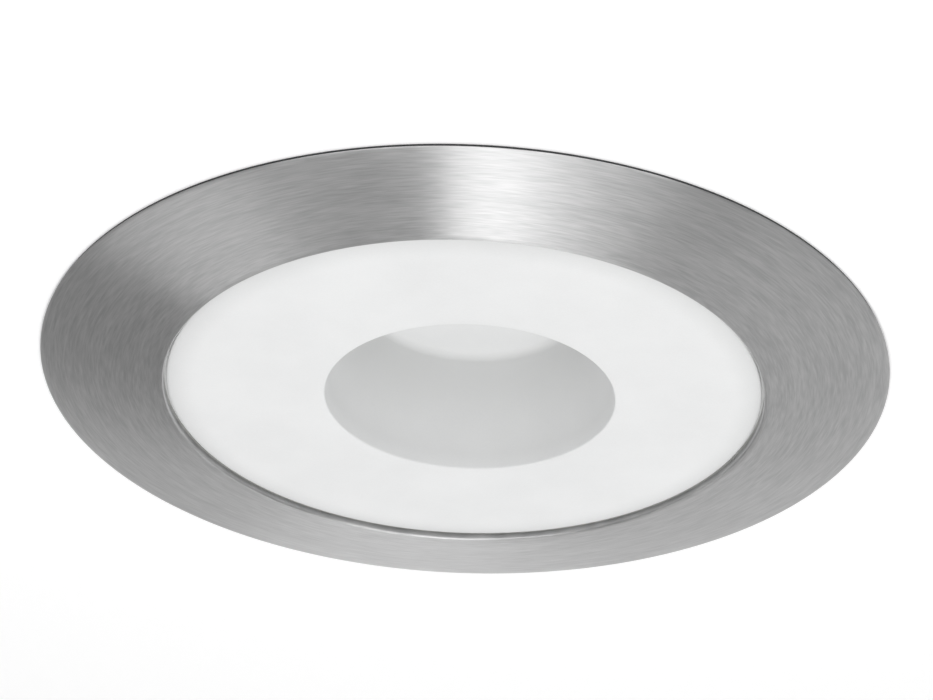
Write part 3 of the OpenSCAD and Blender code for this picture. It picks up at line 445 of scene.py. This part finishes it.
silicone, place = new_finish("clear_silicone")
bloom = noise(place, 220, 3)
close_finish(silicone, place.node("BsdfPrincipled", sockets={
    "Base Color": between(bloom, (0.50, 0.50, 0.48), (0.62, 0.62, 0.60)),
    "Roughness": bloom * 0.2 + 0.4,
    "Normal": relief(bloom, 0.1, 0.1),
}))
dress(silicone, "glass_gasket")

foam, place = new_finish("black_foam")
cells = place.node("TexVoronoi", sockets={"Vector": place, "Scale": 1900.0})
close_finish(foam, place.node("BsdfPrincipled", sockets={
    "Base Color": between(cells, (0.03, 0.03, 0.032), (0.075, 0.075, 0.078)),
    "Roughness": cells * 0.15 + 0.8,
    "Normal": relief(cells, 0.5, 0.3),
}))
dress(foam, "lid_gasket")

seal_in_r = 88.6
seal_mid_r = 91
seal_out_r = 94.9
seal_bulge = 0.1
seal_start = (seal_in_r, cone_under(seal_in_r) + sheet_rise)
mesh = bmesh.new()
spin_line(mesh, [seal_start, (seal_mid_r, cone_under(seal_mid_r) + sheet_rise),
                 (seal_out_r - seal_bulge, -seal_h), (seal_out_r, -seal_h / 2), (seal_out_r - seal_bulge, 0),
                 (seal_mid_r, 0), (seal_in_r, 0), seal_start], 240)
trim_seal = mesh_piece(mesh, "trim_seal", foam)
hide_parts("trim_gasket")
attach(trim_seal, "trim")


# ---- Galvanised sheet ----
# Collar, retainer, spring hangers and receivers, clip brackets, strap and junction box are stamped
# from hot-dip galvanised sheet, with its spangle and a dull grey bloom.

galvanised, place = new_finish("galvanised_sheet")
drift = place.node("VectorMath", {"operation": "SCALE"}, {0: noise(place, 90), "Scale": 3 * MM})
bent = place.node("VectorMath", {"operation": "ADD"}, {0: place, 1: drift})
spangle = place.node("TexVoronoi", sockets={"Vector": bent, "Scale": 170.0}, output="Color")
flake = place.node("SeparateColor", sockets={0: spangle})
bloom = noise(place, 26, 4)
haze = noise(place, 900)
close_finish(galvanised, place.node("BsdfPrincipled", sockets={
    "Base Color": between(flake * 0.5 + bloom * 0.4 + haze * 0.1, (0.42, 0.44, 0.455), (0.66, 0.68, 0.69)),
    "Metallic": 1.0,
    "Roughness": flake * 0.14 + bloom * 0.16 + 0.28,
    "Normal": relief(haze * 0.4 + flake * 0.6, 0.08, 0.06),
}))
dress(galvanised, "retainer_ring", "spring_hangers", "mounting_collar", "spring_receivers", "clip_brackets",
      "holder_strap", "junction_box", "knockouts", "box_lid")


# ---- Screws, nuts, rivets and pins ----
# Bought-in fixings of mild steel, bright zinc plated, with a faint bluish cast and fine tool marks.

zinc, place = new_finish("zinc_plate")
marks = noise(place, 1400, 3)
stain = noise(place, 160, 3)
close_finish(zinc, place.node("BsdfPrincipled", sockets={
    "Base Color": between(stain, (0.60, 0.62, 0.66), (0.76, 0.76, 0.74)),
    "Metallic": 1.0,
    "Roughness": marks * 0.15 + 0.17,
    "Normal": relief(marks, 0.1, 0.03),
}))
dress(zinc, "trim_studs", "retainer_nuts", "hanger_rivets", "hanger_pins", "collar_screws", "cap_screws",
      "receiver_rivets", "clip_rivets", "clip_pins", "lamp_pins", "holder_screws", "strap_screws",
      "box_screws", "hinge_pin", "lid_screw", "terminal_screws")


# ---- Can and cap ----
# A rolled steel tube and its cap, in white powder coat with a fine orange peel, a little dusty on top. The
# tube is stiffened by a rolled bead, and closed by a lap seam with six spot welds.

enamel, place = new_finish("white_enamel")
peel = noise(place, 750)
dust = noise(place, 38, 4)
close_finish(enamel, place.node("BsdfPrincipled", sockets={
    "Base Color": between(dust, (0.74, 0.735, 0.72), (0.83, 0.83, 0.82)),
    "Roughness": dust * 0.2 + 0.28,
    "Normal": relief(peel, 0.18, 0.12),
}))
dress(enamel, "can_shell", "can_cap")

can_r = 76.5
bead_r = 1.3
bead_z = 64
bead_sunk = 0.3
bead = arc(can_r - bead_sunk, bead_z, bead_r, -90, 90, 8)
mesh = bmesh.new()
spin_line(mesh, bead + bead[:1], 180)
can_bead = mesh_piece(mesh, "can_bead", enamel)
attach(can_bead, "housing")

seam_start = math.radians(128)
seam_turn = math.radians(7)
seam_low, seam_high = 18.3, 87.8
seam_in_r = can_r - 0.2
seam_out_r = can_r + 0.5
weld_line = [(0, 0.1), (0.8, 0.1), (1.3, 0.3), (1.8, 0.3), (2.2, -0.1), (0, -0.1)]
weld_sunk = 0.02
mesh = bmesh.new()
corners = [mesh.verts.new((r * MM, 0, z * MM)) for r, z in (
    (seam_in_r, seam_low), (seam_out_r, seam_low), (seam_out_r, seam_high), (seam_in_r, seam_high))]
loop = [mesh.edges.new(pair) for pair in zip(corners, corners[1:] + corners[:1])]
bmesh.ops.spin(mesh, geom=corners + loop, cent=(0, 0, 0), axis=(0, 0, 1), angle=seam_turn, steps=6)
bmesh.ops.holes_fill(mesh, edges=mesh.edges, sides=4)
bmesh.ops.rotate(mesh, verts=mesh.verts, cent=(0, 0, 0), matrix=Matrix.Rotation(seam_start, 3, "Z"))
for weld_z in (26, 38, 50, 58, 70, 82):
    drawn = set(mesh.verts)
    spin_line(mesh, weld_line, 20)
    on_seam = (Matrix.Rotation(seam_start + seam_turn / 2, 4, "Z")
               @ Matrix.Translation(((seam_out_r - weld_sunk) * MM, 0, weld_z * MM))
               @ Matrix.Rotation(math.radians(90), 4, "Y"))
    bmesh.ops.transform(mesh, matrix=on_seam, verts=[v for v in mesh.verts if v not in drawn])
can_seam = mesh_piece(mesh, "can_seam", enamel)
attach(can_seam, "housing")


# ---- Springs and clips ----
# The clips are stamped from spring strip and the springs are wound from spring wire. Both are
# tempered, which leaves a brownish grey skin, and lightly oiled. The clips' feet are rubber sleeves.

spring_steel, place = new_finish("spring_steel")
temper = noise(place, 70, 3)
scuff = noise(place, 1100)
close_finish(spring_steel, place.node("BsdfPrincipled", sockets={
    "Base Color": between(temper, (0.30, 0.295, 0.29), (0.48, 0.475, 0.46)),
    "Metallic": 1.0,
    "Roughness": scuff * 0.18 + 0.24,
    "Normal": relief(scuff, 0.12, 0.04),
}))
dress(spring_steel, "left_spring_front_arm", "left_spring_back_arm", "right_spring_front_arm",
      "right_spring_back_arm", "clip_spring_tails", "front_clip", "front_clip_spring", "back_clip",
      "back_clip_spring")


def rubber(name, low, high):
    material, place = new_finish(name)
    skin = noise(place, 800, 3)
    return close_finish(material, place.node("BsdfPrincipled", sockets={
        "Base Color": between(skin, low, high),
        "Roughness": skin * 0.2 + 0.6,
        "Normal": relief(skin, 0.2, 0.08),
    }))


black_rubber = rubber("black_rubber", (0.02, 0.02, 0.02), (0.045, 0.045, 0.045))
dress(black_rubber, "front_clip_foot", "back_clip_foot")


# ---- Lamp and lampholder ----
# A 50 mm reflector lamp of pressed glass, silvered inside, with a prismatic front lens and a steatite
# base. Its holder is steatite too, with brass contacts.

silvered, place = new_finish("mirrored_glass")
ripple = noise(place, 180)
close_finish(silvered, place.node("BsdfPrincipled", sockets={
    "Base Color": between(ripple, (0.66, 0.67, 0.70), (0.80, 0.81, 0.83)),
    "Metallic": 1.0,
    "Roughness": ripple * 0.1 + 0.12,
    "Coat Weight": 1.0,
    "Normal": relief(ripple, 0.15, 0.2),
}))
dress(silvered, "lamp_reflector")

lens, place = new_finish("lamp_glass")
prisms = place.node("TexVoronoi", sockets={"Vector": place, "Scale": 420.0})
close_finish(lens, place.node("BsdfPrincipled", sockets={
    "Base Color": between(prisms, (0.80, 0.83, 0.85), (0.93, 0.95, 0.96)),
    "Roughness": prisms * 0.1 + 0.14,
    "Normal": relief(prisms, 0.5, 0.5),
}))
dress(lens, "lamp_lens")

steatite, place = new_finish("porcelain")
grit = noise(place, 1500, 3)
close_finish(steatite, place.node("BsdfPrincipled", sockets={
    "Base Color": between(grit, (0.70, 0.68, 0.62), (0.82, 0.80, 0.75)),
    "Roughness": grit * 0.2 + 0.5,
    "Normal": relief(grit, 0.15, 0.05),
}))
dress(steatite, "lamp_base", "lampholder")

brass, place = new_finish("brass")
turned_marks = noise(place, 900)
close_finish(brass, place.node("BsdfPrincipled", sockets={
    "Base Color": between(turned_marks, (0.62, 0.46, 0.20), (0.76, 0.60, 0.30)),
    "Metallic": 1.0,
    "Roughness": turned_marks * 0.2 + 0.2,
    "Normal": relief(turned_marks, 0.1, 0.04),
}))
dress(brass, "holder_contacts", "earth_screw")


# ---- Terminal block, leads and gland ----
# Moulded nylon for the block and the gland, and single-core leads in brown, blue and green.

def moulded(name, low, high, roughness):
    material, place = new_finish(name)
    texture = noise(place, 1200)
    return close_finish(material, place.node("BsdfPrincipled", sockets={
        "Base Color": between(texture, low, high),
        "Roughness": texture * 0.15 + roughness,
        "Normal": relief(texture, 0.12, 0.05),
    }))


dress(moulded("white_nylon", (0.74, 0.74, 0.70), (0.82, 0.82, 0.79), 0.4), "terminal_block")
dress(moulded("black_nylon", (0.018, 0.018, 0.02), (0.035, 0.035, 0.037), 0.42),
      "gland_body", "gland_locknut", "gland_nut")
dress(moulded("brown_insulation", (0.13, 0.055, 0.025), (0.18, 0.08, 0.04), 0.32), "live_lead")
dress(moulded("blue_insulation", (0.03, 0.11, 0.40), (0.05, 0.16, 0.48), 0.32), "neutral_lead")
dress(moulded("green_insulation", (0.08, 0.34, 0.06), (0.12, 0.42, 0.10), 0.32), "earth_lead")
dress(black_rubber, "lead_bush")
dress(rubber("grey_rubber", (0.13, 0.13, 0.135), (0.20, 0.20, 0.205)), "gland_seal")
